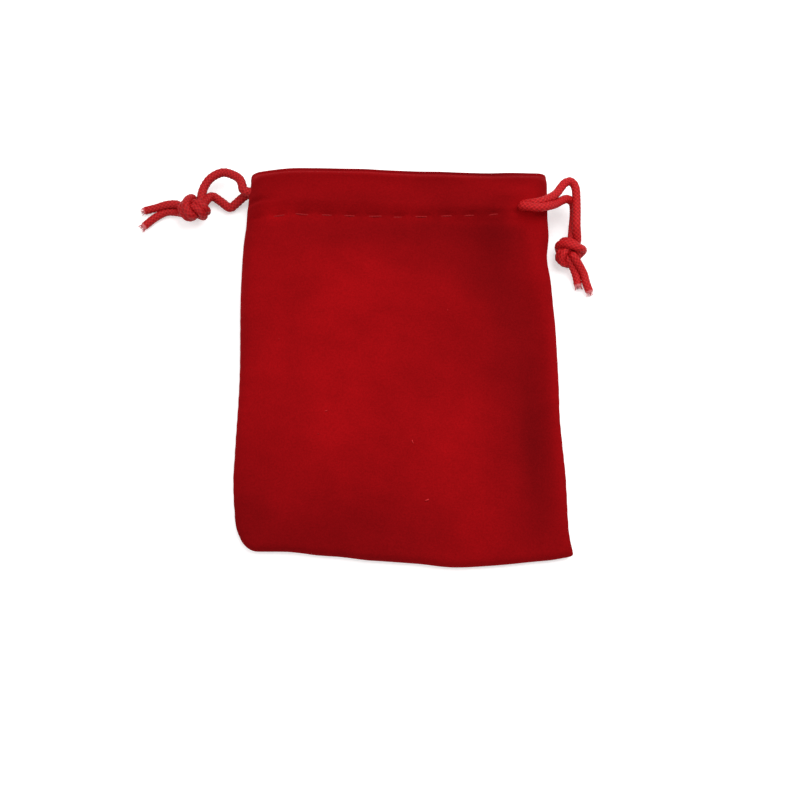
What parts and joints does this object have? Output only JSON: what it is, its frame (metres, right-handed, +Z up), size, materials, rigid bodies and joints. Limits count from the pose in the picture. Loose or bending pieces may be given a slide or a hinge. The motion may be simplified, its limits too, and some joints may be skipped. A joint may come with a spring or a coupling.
{
  "type": "drawstring pouch",
  "caption": "Small flat velvet pouch with a stitched casing round its mouth and two knotted drawstrings, lying on its back with the front panel softly raised.",
  "frame": {"origin": "middle of the pouch's plan outline, on the surface it lies on", "axes": "+Y from the bottom fold towards the mouth, +X to the right across the front panel, +Z up out of the front panel"},
  "size_m": [0.1044, 0.0934, 0.0134],
  "materials": {
    "velvet": "matte",
    "cord": "satin"
  },
  "bodies": {
    "root": {"pouch_body": "velvet", "left_drawstring": "cord", "left_knot": "cord", "left_tail_upper": "cord", "left_tail_lower": "cord", "right_drawstring": "cord", "right_knot": "cord", "right_tail_inner": "cord", "right_tail_outer": "cord"}
  },
  "joints": []
}
